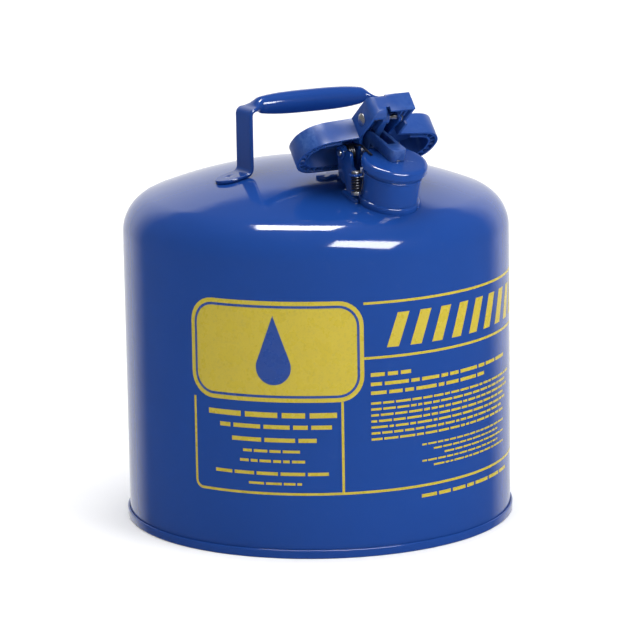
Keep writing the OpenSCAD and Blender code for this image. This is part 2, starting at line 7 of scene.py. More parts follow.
import bmesh
import bpy
from mathutils import Matrix, Vector


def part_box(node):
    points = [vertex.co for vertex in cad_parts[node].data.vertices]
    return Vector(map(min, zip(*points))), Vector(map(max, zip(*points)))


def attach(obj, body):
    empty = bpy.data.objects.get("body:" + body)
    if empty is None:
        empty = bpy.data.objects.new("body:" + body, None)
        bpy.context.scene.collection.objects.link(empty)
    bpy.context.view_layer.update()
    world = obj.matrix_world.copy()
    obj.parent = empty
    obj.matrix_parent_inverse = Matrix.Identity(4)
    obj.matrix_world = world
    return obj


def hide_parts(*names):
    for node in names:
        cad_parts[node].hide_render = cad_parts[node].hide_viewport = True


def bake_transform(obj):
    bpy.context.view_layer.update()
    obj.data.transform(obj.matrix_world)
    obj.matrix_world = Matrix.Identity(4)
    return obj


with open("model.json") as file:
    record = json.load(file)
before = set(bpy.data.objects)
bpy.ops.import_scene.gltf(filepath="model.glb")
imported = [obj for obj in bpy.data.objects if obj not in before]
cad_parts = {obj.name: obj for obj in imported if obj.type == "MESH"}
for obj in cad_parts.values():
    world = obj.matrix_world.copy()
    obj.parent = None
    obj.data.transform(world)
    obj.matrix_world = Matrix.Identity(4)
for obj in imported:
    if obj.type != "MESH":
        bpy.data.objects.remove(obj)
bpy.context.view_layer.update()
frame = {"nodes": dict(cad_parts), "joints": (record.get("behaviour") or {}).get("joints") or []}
NODES = frame["nodes"]
MM = 0.001

# ---------- driving dimensions, in metres ----------

JOINTS = {j["name"]: Vector(j["pos_m"]) for j in frame["joints"]}
HINGE = JOINTS["lid_hinge"]

WALL_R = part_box("body_shell")[1].x
WALL_H = 235.6 * MM
SHOULDER_R = 32.9 * MM
CROWN_SLOPE = math.radians(21.35)
SHEET = 0.8 * MM
SHOULDER_X = WALL_R - SHOULDER_R
CROWN_R = SHOULDER_R + SHOULDER_X / math.sin(CROWN_SLOPE)
CROWN_Z = WALL_H - (CROWN_R - SHOULDER_R) * math.cos(CROWN_SLOPE)

SPOUT_X = 115 * MM
SPOUT_TILT = math.asin(SPOUT_X / CROWN_R)
SPOUT_Z = CROWN_Z + math.sqrt(CROWN_R**2 - SPOUT_X**2)
TUBE_R = 22.6 * MM
TUBE_IN = 21.4 * MM
TUBE_H = 32 * MM
LID_R = 26.3 * MM
LID_TOP = 36 * MM
LID_RIM = 7 * MM

HANDLE_LOW, HANDLE_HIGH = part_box("carry_handle")
STRAP_T = 3 * MM
STRAP_TOP = 340 * MM
STRAP_BEND = 6 * MM
ON_DOME = 0.05 * MM

# the side of the can with the printed panels and the camera, turned round from the spout
FACING = math.radians(-29.8)


def crown_height(x, y):
    """Height of the crown's surface over a point."""
    return CROWN_Z + math.sqrt(CROWN_R**2 - x * x - y * y)


TILTED = Matrix.Rotation(SPOUT_TILT, 4, "Y")
AT_SPOUT = Matrix.Translation((SPOUT_X, 0, SPOUT_Z)) @ TILTED


# ---------- mesh helpers ----------


def smooth(mesh, angle):
    """Smooth faces, with a sharp edge wherever two faces meet at more than an angle in degrees."""
    for polygon in mesh.polygons:
        polygon.use_smooth = True
    mesh.set_sharp_from_angle(angle=math.radians(angle))


def add_object(name, mesh, smooth_angle=35):
    """Links a mesh as an object, smoothed up to that angle between faces."""
    smooth(mesh, smooth_angle)
    piece = bpy.data.objects.new(name, mesh)
    bpy.context.scene.collection.objects.link(piece)
    return piece


def built(bm, name, smooth_angle=35):
    """Ends the building of a mesh and gives it back as an object."""
    mesh = bpy.data.meshes.new(name)
    bm.to_mesh(mesh)
    bm.free()
    return add_object(name, mesh, smooth_angle)


def finish_piece(piece, body, material, nodes=()):
    """Gives a piece its body and material, and hides the CAD nodes it stands for.
    """
    piece.data.materials.clear()
    piece.data.materials.append(material)
    if body:
        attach(piece, body)
    if nodes:
        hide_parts(*nodes)


def apply_modifiers(piece):
    """Bakes a piece's modifiers into its mesh."""
    bpy.context.view_layer.update()
    graph = bpy.context.evaluated_depsgraph_get()
    mesh = bpy.data.meshes.new_from_object(piece.evaluated_get(graph))
    piece.modifiers.clear()
    piece.data = mesh


def arc(cx, cz, r, start, end, steps=8):
    """Points of an arc from one angle to another, in degrees."""
    turn = [math.radians(start + (end - start) * i / steps) for i in range(steps + 1)]
    return [(cx + r * math.cos(a), cz + r * math.sin(a)) for a in turn]


def revolved(name, profile, place=Matrix(), steps=160, smooth_angle=35):
    """A closed profile of (radius, height) turned round +Z; a point at radius 0 is a pole."""
    bm = bmesh.new()
    rings = []
    for r, z in profile:
        if r < 1e-7:
            rings.append([bm.verts.new((0, 0, z))] * steps)
        else:
            turn = [math.tau * i / steps for i in range(steps)]
            rings.append([bm.verts.new((r * math.cos(a), r * math.sin(a), z)) for a in turn])
    for k, ring in enumerate(rings):
        other = rings[(k + 1) % len(rings)]
        for i in range(steps):
            j = (i + 1) % steps
            corners = list(dict.fromkeys((ring[i], ring[j], other[j], other[i])))
            if len(corners) > 2:
                bm.faces.new(corners)
    bmesh.ops.recalc_face_normals(bm, faces=bm.faces)
    bm.transform(place)
    return built(bm, name, smooth_angle)


def softened(node, width):
    """A copy of a CAD node whose sharp edges are rounded, as pressed or moulded edges are."""
    same_place = 0.002 * MM
    same_plane = math.radians(0.6)
    bm = bmesh.new()
    bm.from_mesh(NODES[node].data)
    bmesh.ops.remove_doubles(bm, verts=bm.verts, dist=same_place)
    bmesh.ops.dissolve_limit(bm, angle_limit=same_plane, verts=bm.verts, edges=bm.edges)
    piece = built(bm, node + "_finished")
    bevel = piece.modifiers.new("edges", "BEVEL")
    bevel.width = width
    bevel.segments = 2
    bevel.limit_method = "ANGLE"
    bevel.angle_limit = math.radians(32)
    bevel.miter_outer = "MITER_ARC"
    apply_modifiers(piece)
    smooth(piece.data, 40)
    return piece


def add_skin(bm, rings):
    """Joins rings of equal count by faces, and closes both ends."""
    for ring, other in zip(rings, rings[1:]):
        for k in range(len(ring)):
            j = (k + 1) % len(ring)
            bm.faces.new((ring[k], ring[j], other[j], other[k]))
    bm.faces.new(rings[0][::-1])
    bm.faces.new(rings[-1])


def add_tube(bm, path, radius, sides):
    """Adds a round wire with flat ends to a mesh being built."""
    points = [Vector(p) for p in path]
    last = len(points) - 1
    chords = [points[min(i + 1, last)] - points[max(i - 1, 0)] for i in range(last + 1)]
    tangents = [chord.normalized() for chord in chords]
    side = tangents[0].orthogonal().normalized()
    rings = []
    for point, tangent in zip(points, tangents):
        side = (side - tangent * side.dot(tangent)).normalized()
        up = tangent.cross(side)
        turn = [math.tau * k / sides for k in range(sides)]
        spokes = [math.cos(a) * side + math.sin(a) * up for a in turn]
        rings.append([bm.verts.new(point + radius * spoke) for spoke in spokes])
    add_skin(bm, rings)


def tube(name, path, radius, sides=12):
    """A piece of round wire along a list of points."""
    bm = bmesh.new()
    add_tube(bm, path, radius, sides)
    return built(bm, name, 60)


def smoothstep(t):
    """Eases from 0 to 1 as t goes from 0 to 1."""
    t = min(max(t, 0), 1)
    return t * t * (3 - 2 * t)


# ---------- materials ----------


class Nodes:
    """A material's node tree, with short calls to add and link nodes."""

    def __init__(self, name):
        self.material = bpy.data.materials.new(name)
        self.material.use_nodes = True
        self.tree = self.material.node_tree
        self.shader = self.tree.nodes["Principled BSDF"]
        self.place = self.add("ShaderNodeTexCoord").outputs["Object"]

    def add(self, kind, **settings):
        node = self.tree.nodes.new(kind)
        for key, value in settings.items():
            setattr(node, key, value)
        return node

    def link(self, source, target):
        self.tree.links.new(source, target)

    def fixed(self, **values):
        """Sets the shader's own sockets, named with _ for a space."""
        for key, value in values.items():
            self.shader.inputs[key.replace("_", " ")].default_value = value

    def feed(self, **sources):
        """Links sources to the shader's own sockets, named with _ for a space."""
        for key, source in sources.items():
            self.link(source, self.shader.inputs[key.replace("_", " ")])

    def noise(self, scale, detail=3, roughness=0.5, stretch=None):
        """Noise over the object, `scale` cells to the metre; stretch scales it by axis."""
        node = self.add("ShaderNodeTexNoise")
        node.inputs["Scale"].default_value = scale
        node.inputs["Detail"].default_value = detail
        node.inputs["Roughness"].default_value = roughness
        place = self.place
        if stretch:
            mapping = self.add("ShaderNodeMapping")
            mapping.inputs["Scale"].default_value = stretch
            self.link(place, mapping.inputs["Vector"])
            place = mapping.outputs["Vector"]
        self.link(place, node.inputs["Vector"])
        return node.outputs["Fac"]

    def spread(self, source, low, high, out_low=0.0, out_high=1.0):
        """Maps a value from one range to another, clamped."""
        node = self.add("ShaderNodeMapRange")
        limits = {"From Min": low, "From Max": high, "To Min": out_low, "To Max": out_high}
        for key, value in limits.items():
            node.inputs[key].default_value = value
        self.link(source, node.inputs["Value"])
        return node.outputs["Result"]

    def math(self, operation, a, b):
        """Puts two values together; each is a number or a socket."""
        node = self.add("ShaderNodeMath", operation=operation)
        for socket, value in zip(node.inputs, (a, b)):
            if isinstance(value, (int, float)):
                socket.default_value = value
            else:
                self.link(value, socket)
        return node.outputs["Value"]

    def mix(self, factor, a, b):
        """Mixes two colours; each is a tuple or a socket."""
        node = self.add("ShaderNodeMix", data_type="RGBA")
        self.link(factor, node.inputs["Factor"])
        for key, value in ((6, a), (7, b)):
            if isinstance(value, tuple):
                node.inputs[key].default_value = (*value, 1)
            else:
                self.link(value, node.inputs[key])
        return node.outputs[2]

    def bump(self, height, depth, strength=1.0, below=None):
        """A surface normal from a height, laid over another bump when one is below."""
        node = self.add("ShaderNodeBump")
        node.inputs["Strength"].default_value = strength
        node.inputs["Distance"].default_value = depth
        self.link(height, node.inputs["Height"])
        if below:
            self.link(below, node.inputs["Normal"])
        return node.outputs["Normal"]

    def edges(self, low=0.53, high=0.6):
        """1 on convex edges, 0 elsewhere."""
        return self.spread(self.add("ShaderNodeNewGeometry").outputs["Pointiness"], low, high)


def paint_material():
    """Baked gloss enamel: orange peel, a faint drift of tone, dust, and rubbed edges."""
    n = Nodes("paint")
    deep, clear, rubbed = (0.0085, 0.047, 0.235), (0.0105, 0.057, 0.28), (0.05, 0.11, 0.32)
    tone = n.mix(n.noise(9, 4, 0.6), deep, clear)
    scuff = n.math("MULTIPLY", n.edges(), n.spread(n.noise(420, 5, 0.7), 0.5, 0.75))
    dust = n.spread(n.noise(95, 6, 0.75), 0.60, 0.85, 0, 0.10)
    colour = n.mix(dust, tone, (0.10, 0.14, 0.28))
    polish = n.spread(n.noise(38, 5, 0.65), 0.3, 0.8, 0.07, 0.13)
    dull = n.math("MULTIPLY", scuff, 0.3)
    waves = n.bump(n.noise(55, 2, 0.4), 0.35 * MM, 0.25)
    n.feed(
        Base_Color=n.mix(scuff, colour, rubbed),
        Roughness=n.math("ADD", polish, dull),
        Normal=n.bump(n.noise(900, 2, 0.5), 0.01 * MM, 0.12, waves),
    )
    n.fixed(Specular_IOR_Level=0.5)
    return n.material


def nylon_material():
    """Moulded nylon: fine grain, a little paler where hands and edges rub."""
    n = Nodes("nylon")
    tone = n.mix(n.noise(30, 4, 0.6), (0.011, 0.050, 0.235), (0.015, 0.062, 0.275))
    rub = n.math("MULTIPLY", n.edges(0.52, 0.62), n.spread(n.noise(260, 4, 0.6), 0.35, 0.7))
    flow = n.bump(n.noise(60, 2, 0.4, (1, 1, 3)), 0.12 * MM, 0.3)
    n.feed(
        Base_Color=n.mix(rub, tone, (0.05, 0.12, 0.36)),
        Roughness=n.spread(n.noise(75, 5, 0.6), 0.3, 0.75, 0.28, 0.42),
        Normal=n.bump(n.noise(2600, 3, 0.6), 0.03 * MM, 0.4, flow),
    )
    n.fixed(Specular_IOR_Level=0.4)
    return n.material


def metal_material(name, dark, bright, low, high, stretch):
    """Bare metal with a drawn or turned grain, its roughness between low and high."""
    n = Nodes(name)
    stain = n.spread(n.noise(120, 5, 0.65), 0.3, 0.75)
    streak = n.noise(1400, 4, 0.6, stretch)
    n.feed(
        Base_Color=n.mix(stain, dark, bright),
        Roughness=n.spread(streak, 0.3, 0.75, low, high),
        Normal=n.bump(streak, 0.03 * MM, 0.5),
    )
    n.fixed(Metallic=1.0)
    return n.material


def rubber_material():
    """Fuel-proof rubber, nearly black, with a dull grain."""
    n = Nodes("gasket")
    n.feed(
        Base_Color=n.mix(n.noise(200, 4, 0.6), (0.012, 0.012, 0.013), (0.03, 0.03, 0.032)),
        Roughness=n.spread(n.noise(350, 4, 0.6), 0.3, 0.7, 0.6, 0.8),
        Normal=n.bump(n.noise(1500, 3, 0.6), 0.05 * MM, 0.5),
    )
    return n.material


def ink_material(name, thin, full):
    """Screen-printed ink: the blue shows through where it is thin."""
    n = Nodes(name)
    cover = n.spread(n.noise(500, 4, 0.6), 0.25, 0.5)
    n.feed(
        Base_Color=n.mix(cover, thin, full),
        Roughness=n.spread(n.noise(90, 4, 0.6), 0.3, 0.7, 0.22, 0.36),
        Normal=n.bump(n.noise(1800, 2, 0.5), 0.02 * MM, 0.4),
    )
    return n.material


PAINT = paint_material()
NYLON = nylon_material()
STEEL = metal_material("steel", (0.42, 0.42, 0.43), (0.72, 0.72, 0.74), 0.22, 0.42, (1, 8, 1))
SCREEN = metal_material("screen", (0.34, 0.32, 0.27), (0.58, 0.56, 0.50), 0.35, 0.55, (1, 1, 1))
# dark spring steel, made darker still as painted shade for the springs in the shade round the hinge
# and bracket
SPRING_STEEL_SHADED = metal_material(
    "spring_steel", (0.05, 0.05, 0.06), (0.16, 0.16, 0.18), 0.25, 0.45, (1, 1, 6)
)
# steel darkened as painted shade for the adjuster screw, which sits in the shade of the bracket
DARK_STEEL_SHADED = metal_material(
    "dark_steel_painted_shade", (0.16, 0.16, 0.18), (0.34, 0.34, 0.36), 0.30, 0.48, (1, 1, 6)
)
RUBBER = rubber_material()
YELLOW = ink_material("print", (0.42, 0.34, 0.035), (0.52, 0.41, 0.032))
BLUE_INK = ink_material("print_blue", (0.02, 0.07, 0.30), (0.012, 0.055, 0.28))

# ---------- the can ----------


def can_profile(inset, low):
    """Outline of the can from the foot of the wall to the top of the crown."""
    steps = 44
    levels = (low, low + 2 * MM, low + 5 * MM, WALL_H * 0.5, WALL_H - 6 * MM)
    wall = [(WALL_R - inset, z) for z in levels]
    shoulder = arc(SHOULDER_X, WALL_H, SHOULDER_R - inset, 0, 90 - math.degrees(CROWN_SLOPE), 20)
    slopes = [CROWN_SLOPE * (1 - i / steps) for i in range(1, steps + 1)]
    r = CROWN_R - inset
    crown = [(r * math.sin(a), CROWN_Z + r * math.cos(a)) for a in slopes]
    return wall + shoulder + crown


def make_body():
    """Drawn shell of one thickness, with the spout's hole cut through its crown."""
    foot = 1.2 * MM
    through = 20 * MM
    profile = can_profile(0, foot) + can_profile(SHEET, foot)[::-1]
    shell = revolved("body_shell_drawn", profile, steps=288)
    plug = [(0, -through), (TUBE_R, -through), (TUBE_R, through), (0, through)]
    hole = revolved("hole", plug, AT_SPOUT, 96)
    cut = shell.modifiers.new("spout", "BOOLEAN")
    cut.object = hole
    cut.solver = "EXACT"
    apply_modifiers(shell)
    bpy.data.objects.remove(hole)
    finish_piece(shell, "can", PAINT, ["body_shell"])


def make_pan():
    """Rolled seam and recessed disc, with its stiffening bead."""
    out = WALL_R + 1.95 * MM
    inner = WALL_R - 1.65 * MM
    outside_wall = WALL_R + 0.04 * MM
    inside_wall = WALL_R - 0.85 * MM
    top = 7 * MM
    disc = 11 * MM
    foot_r = 1.2 * MM
    hem_r = 0.6 * MM
    turn_r = 1 * MM
    bead = WALL_R * 0.62
    bead_r = 5 * MM
    bead_z = disc - 2 * MM
    seam = [(inner, hem_r)] + arc(inner + hem_r, hem_r, hem_r, 180, 270, 4)
    seam += arc(out - foot_r, foot_r, foot_r, 270, 360, 6)
    seam += arc(out - turn_r, top - turn_r, turn_r, 0, 150, 8)
    seam += [(outside_wall, top - 1.6 * MM), (outside_wall, turn_r), (inside_wall, turn_r)]
    upper = [(inside_wall, disc - turn_r)]
    upper += arc(inside_wall - turn_r, disc - turn_r, turn_r, 0, 90, 4)
    rise = arc(bead, bead_z, bead_r, 25, 155, 10)
    lower = arc(bead, bead_z, bead_r - SHEET, 150, 30, 10)
    flat = [(0, disc), (0, disc - SHEET)]
    edge = [(inner - turn_r, disc - SHEET), (inner, disc - 1.8 * MM)]
    profile = seam + upper + rise + flat + lower + edge
    pan = revolved("bottom_pan_rolled", profile, steps=288, smooth_angle=50)
    finish_piece(pan, "can", PAINT, ["bottom_pan"])


def make_collar():
    """Spout tube with its seat ring, bead and rolled rim."""
    rim_r = 23.8 * MM
    ring = 1.9 * MM
    roll = 1.5 * MM
    lip_r = 0.8 * MM
    below = -4 * MM
    inside = [(TUBE_IN, below), (TUBE_R, below), (TUBE_R + 1.6 * MM, -1.5 * MM)]
    seat = [(TUBE_R + ring, -0.6 * MM)] + arc(TUBE_R, 2.5 * MM, ring, 0, 85, 8)
    seat += [(TUBE_R + 0.05 * MM, 4.9 * MM)]
    bead = arc(TUBE_R + 0.1 * MM, 24.6 * MM, 1.1 * MM, -80, 80, 8) + [(TUBE_R, 28 * MM)]
    top = arc(rim_r - roll, TUBE_H - roll, roll, -120, 90, 12)
    lip = arc(TUBE_IN + lip_r, TUBE_H - lip_r, lip_r, 90, 180, 5)
    profile = inside + seat + bead + top + lip
    collar = revolved("spout_collar_drawn", profile, AT_SPOUT, 160, 50)
    finish_piece(collar, "can", PAINT, ["spout_collar"])


# ---------- the flame arrester ----------


def make_screen(name, radius, node):
    """A tube of woven wire round the spout's axis."""
    low, high = -94 * MM, 21 * MM
    pitch = 2.6 * MM
    wire = 0.28 * MM
    hoop_r = radius + wire
    turn = [math.tau * i / 48 for i in range(49)]
    bm = bmesh.new()
    uprights = int(math.tau * radius / pitch)
    for k in range(uprights):
        a = math.tau * k / uprights
        x, y = radius * math.cos(a), radius * math.sin(a)
        add_tube(bm, [(x, y, low), (x, y, high)], wire, 5)
    rows = int((high - low) / pitch)
    for k in range(rows + 1):
        z = low + (high - low) * k / rows
        add_tube(bm, [(hoop_r * math.cos(a), hoop_r * math.sin(a), z) for a in turn], wire, 5)
    bm.transform(AT_SPOUT)
    finish_piece(built(bm, name, 80), "can", SCREEN, [node])


# ---------- the handle ----------


def strap_section(half_w, half_t):
    """A flat bar with round edges, as 56 points in order round it."""
    r = half_t * 0.92
    flat = 16
    points = []
    for corner, (sx, sz) in enumerate(((1, 1), (-1, 1), (-1, -1), (1, -1))):
        points += arc(sx * (half_w - r), sz * (half_t - r), r, 90 * corner, 90 * corner + 90, 5)
        if corner in (0, 2):
            ends = sx * (half_w - r)
            points += [(ends * (1 - 2 * i / (flat + 1)), sz * half_t) for i in range(1, flat + 1)]
    return points


def handle_path(half_w, half_t, reach):
    """Points from the handle's middle to the top of a leg, and how far out the leg is.

    Each point has its distance from the middle, height, roundness, grip radius and half width.
    """
    leg = reach - 24.5 * MM
    grip_r = 9.2 * MM
    strap_z = STRAP_TOP - half_t
    grip_z = HANDLE_HIGH.z - grip_r
    roll_end = 60 * MM
    round_end, round_fade = 58 * MM, 12 * MM
    straight = leg - STRAP_BEND
    steps = 44
    path = []
    for i in range(steps + 1):
        d = straight * i / steps
        rolled = smoothstep((round_end - d) / round_fade)
        r = grip_r * math.sqrt(max(1 - (d / roll_end) ** 3, 0))
        path.append((d, strap_z + (grip_z - strap_z) * rolled, rolled, r, half_w))
    bend = STRAP_BEND - half_t
    for d, z in arc(straight, strap_z - bend, bend, 90, 0, 8)[1:]:
        path.append((d, z, 0, 0, half_w))
    return path, leg


def foot_path(leg, half_w, half_t, reach, x, y_of):
    """The rest of the path, down a leg, round its bend and along the pad on the dome.

    y_of gives the place across the can of a distance from the handle's middle.
    """
    bend = 4.5 * MM
    corner = leg + bend
    y = y_of(corner)
    slope = math.asin(abs(y) / CROWN_R)
    lift = half_t + bend
    z = crown_height(x, y) + ON_DOME + (half_t * 2 + bend) / math.cos(slope)
    path = []
    top = STRAP_TOP - STRAP_BEND
    steps = 12
    for i in range(1, steps):
        path.append((leg - half_t, top + (z - top) * i / steps, 0, 0, half_w))
    for d, up in arc(corner, z, lift, 180, 270 - math.degrees(slope), 8):
        path.append((d, up, 0, 0, half_w))
    start = path[-1][0]
    steps = 18
    for i in range(1, steps + 1):
        d = start + (reach - start) * math.sin(math.pi / 2 * i / steps)
        past_round = max(half_w - (reach - d), 0)
        width = math.sqrt(max(half_w**2 - past_round**2, (0.02 * half_w) ** 2))
        up = crown_height(x, y_of(d)) + ON_DOME + half_t
        path.append((d, up, 0, 0, width))
    return path


def make_handle():
    """One strap, bent at its feet and corners and rolled into a grip in the middle."""
    x = (HANDLE_LOW.x + HANDLE_HIGH.x) / 2
    middle = (HANDLE_LOW.y + HANDLE_HIGH.y) / 2
    half_w = (HANDLE_HIGH.x - HANDLE_LOW.x) / 2
    half_t = STRAP_T / 2
    reach = (HANDLE_HIGH.y - HANDLE_LOW.y) / 2
    half, leg = handle_path(half_w, half_t, reach)
    sides = []
    for side in (-1, 1):
        foot = foot_path(leg, half_w, half_t, reach, x, lambda d: middle + side * d)
        sides.append([(middle + side * d, *rest) for d, *rest in half + foot])
    line = sides[0][::-1] + sides[1][1:]
    bm = bmesh.new()
    rings = []
    last = len(line) - 1
    for i, (y, z, rolled, grip_r, width) in enumerate(line):
        before, after = line[max(i - 1, 0)], line[min(i + 1, last)]
        along = Vector((0, after[0] - before[0], after[1] - before[1])).normalized()
        up = Vector((1, 0, 0)).cross(along)
        flat = strap_section(width, half_t)
        ring = []
        for k, (u, v) in enumerate(flat):
            a = math.tau * (k + 0.5) / len(flat)
            u += (grip_r * math.cos(a) - u) * rolled
            v += (grip_r * math.sin(a) - v) * rolled
            ring.append(bm.verts.new(Vector((x + u, y, z)) + up * v))
        rings.append(ring)
    add_skin(bm, rings)
    bmesh.ops.recalc_face_normals(bm, faces=bm.faces)
    weld_in, weld_r, weld_depth = 11 * MM, 3.5 * MM, 0.8 * MM
    above_pads = 300 * MM
    for side in (-1, 1):
        spot = Vector((x, middle + side * (reach - weld_in), 0))
        for vert in bm.verts:
            distance = math.hypot(vert.co.x - spot.x, vert.co.y - spot.y)
            if distance < weld_r and vert.co.z < above_pads:
                vert.co.z -= weld_depth * (1 - smoothstep(distance / weld_r))
    handle = built(bm, "carry_handle_rolled", 50)
    finish_piece(handle, "can", PAINT, ["carry_handle"])


# ---------- springs and the screw ----------


def make_torsion_spring():
    """Coil on the hinge pin, with a leg behind it on the plate and a leg over the lid."""
    wire = 0.9 * MM
    coil_r = 6 * MM
    turns = 3.25
    pitch = 1.92 * MM
    outer = -21.45 * MM
    inner = outer + pitch * turns
    lid_y = -16.3 * MM
    over_lid = LID_TOP + wire + 0.15 * MM
    steps = int(turns * 32)
    plate_leg = ((-8, -15.6, -22.4), (-7.5, -17.5, -16), (-6.6, -20.4, -8))
    path = [HINGE + Vector(p) * MM for p in plate_leg]
    for i in range(steps + 1):
        a = math.pi + math.tau * turns * i / steps
        y = outer + (inner - outer) * i / steps
        path.append(HINGE + Vector((coil_r * math.cos(a), y, -coil_r * math.sin(a))))
    hinge_in = AT_SPOUT.inverted() @ HINGE
    lid_leg = (
        (hinge_in.x + 6 * MM, lid_y + 0.6 * MM, hinge_in.z + 8.4 * MM),
        (hinge_in.x + 12 * MM, lid_y, hinge_in.z + 11.6 * MM),
        (-22.5 * MM, lid_y, over_lid + 0.3 * MM),
        (-19 * MM, lid_y, over_lid),
        (-9 * MM, lid_y, over_lid),
    )
    path += [AT_SPOUT @ Vector(p) for p in lid_leg]
    spring = tube("torsion_spring_wound", path, wire, 14)
    finish_piece(spring, None, SPRING_STEEL_SHADED, ["torsion_spring"])
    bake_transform(spring)


def make_adjuster():
    """Screw with a cut thread and a recessed head, and the spring round it under the tab."""
    low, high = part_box("adjuster_screw")
    x, y = (low.x + high.x) / 2, (low.y + high.y) / 2
    tab = high.z - 3.65 * MM
    head = high.z - 2 * MM
    head_r, corner = 3.55 * MM, 0.8 * MM
    recess_r, recess = 1.4 * MM, high.z - 0.9 * MM
    root, crest, pitch = 1.55 * MM, 1.98 * MM, 0.8 * MM
    profile = [(0, low.z), (root, low.z)]
    turns = int((tab - low.z) / pitch)
    for k in range(turns):
        z = low.z + k * pitch
        profile += [(root, z + 0.15 * pitch), (crest, z + 0.5 * pitch), (root, z + 0.9 * pitch)]
    profile += [(crest, tab), (crest, head), (head_r, head)]
    profile += arc(head_r - corner, high.z - corner, corner, 0, 90, 5)
    profile += [(1.6 * MM, high.z), (recess_r, recess), (0, recess)]
    screw = revolved("adjuster_screw_cut", profile, Matrix.Translation((x, y, 0)), 40)
    finish_piece(screw, "can", DARK_STEEL_SHADED, ["adjuster_screw"])
    low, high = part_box("adjuster_spring")
    wire, coil_r, turns = 0.8 * MM, 3.4 * MM, 5
    steps = turns * 28
    path = []
    for i in range(steps + 1):
        a = math.tau * turns * i / steps
        z = low.z + wire + (high.z - low.z - 2 * wire) * i / steps
        path.append((x + coil_r * math.cos(a), y + coil_r * math.sin(a), z))
    spring = tube("adjuster_spring_wound", path, wire)
    finish_piece(spring, "can", SPRING_STEEL_SHADED, ["adjuster_spring"])


# ---------- the lid's pressed steel ----------


def make_lid_cap():
    """Pressed cap: a round corner, a curled lower edge and a flat top with the rivet's hole."""
    corner = 3.4 * MM
    wall = 1.2 * MM
    low = LID_TOP - LID_RIM
    curl = 0.9 * MM
    hole = 2.55 * MM
    flat_r = LID_R - corner
    outside = arc(LID_R - curl, low + curl, curl, 180, 360, 12)
    outside += arc(flat_r, LID_TOP - corner, corner, 0, 90, 14)
    top = [(flat_r - 2 * MM, LID_TOP), (hole, LID_TOP)]
    under = [(hole, LID_TOP - wall), (flat_r, LID_TOP - wall)]
    inside = arc(flat_r, LID_TOP - corner, corner - wall, 90, 0, 10)
    profile = outside + top + under + inside[1:]
    cap = revolved("lid_cap_pressed", profile, AT_SPOUT, 160, 45)
    finish_piece(cap, "lid", PAINT, ["lid_cap"])


# ---------- the printed panels ----------

LINE = 2 * MM
SUNK = 0.04 * MM


class Print:
    """Flat shapes laid on the wall; a point is degrees round from FACING and a height in mm."""

    def __init__(self):
        self.bm = bmesh.new()

    def fill(self, points):
        """A solid shape inside an outline."""
        flat = [(WALL_R * math.radians(angle), z * MM, 0) for angle, z in points]
        self.bm.faces.new([self.bm.verts.new(p) for p in flat])

    def bar(self, start, end, low, high):
        """A solid upright rectangle."""
        self.fill([(start, low), (end, low), (end, high), (start, high)])

    def stroke(self, points, closed=False):
        """A line of even width along some points."""
        line = [Vector((WALL_R * math.radians(angle), z * MM)) for angle, z in points]
        n = len(line)
        pairs = []
        for i, point in enumerate(line):
            before = line[i - 1] if closed or i else point
            after = line[(i + 1) % n] if closed or i < n - 1 else point
            ahead = (after - point).normalized()
            first = (point - before).normalized() if before != point else ahead
            second = ahead if after != point else first
            along = (first + second).normalized()
            across = Vector((-along.y, along.x)) * (LINE / 2 / max(along.dot(first), 0.5))
            pairs.append([self.bm.verts.new((*(point + k * across), 0)) for k in (-1, 1)])
        for i in range(n if closed else n - 1):
            a, b = pairs[i], pairs[(i + 1) % n]
            self.bm.faces.new((a[0], b[0], b[1], a[1]))

    def words(self, start, end, low, high, seed):
        """A row of plain bars of uneven length, standing for a line of small print."""
        chance = random.Random(seed)
        unit = math.degrees((high - low) * MM / WALL_R)
        middle, half = (low + high) / 2, 0.3 * (high - low)
        at = start
        while end - at > unit:
            stop = min(at + chance.uniform(1.2, 4.6) * unit, end)
            if end - stop < 1.4 * unit:
                stop = end
            self.bar(at, stop, middle - half, middle + half)
            at = stop + 0.5 * unit

    def finish(self, name, material, rise):
        """Cuts the shapes into narrow strips, thickens them and wraps them round the wall."""
        bm = self.bm
        step = WALL_R * math.radians(1.25)
        for k in range(-48, 80):
            everything = bm.verts[:] + bm.edges[:] + bm.faces[:]
            cut = (k * step, 0, 0)
            bmesh.ops.bisect_plane(bm, geom=everything, plane_co=cut, plane_no=(1, 0, 0))
        grown = bmesh.ops.extrude_face_region(bm, geom=bm.faces[:])["geom"]
        for vert in grown:
            if isinstance(vert, bmesh.types.BMVert):
                vert.co.z = rise + SUNK
        for vert in bm.verts:
            angle = FACING + vert.co.x / WALL_R
            r = WALL_R - SUNK + vert.co.z
            vert.co = (r * math.cos(angle), r * math.sin(angle), vert.co.y)
        bmesh.ops.recalc_face_normals(bm, faces=bm.faces)
        finish_piece(built(bm, name), "can", material)


def rounded_box(left, right, low, high, r):
    """Corners of a rounded rectangle, in degrees across and mm up."""
    wide = math.degrees(r * MM / WALL_R)
    points = []
    for x, z, start in (
        (right - wide, high - r, 0),
        (left + wide, high - r, 90),
        (left + wide, low + r, 180),
        (right - wide, low + r, 270),
    ):
        points += [(x + wide * c, z + r * s) for c, s in arc(0, 0, 1, start, start + 90, 8)]
    return points


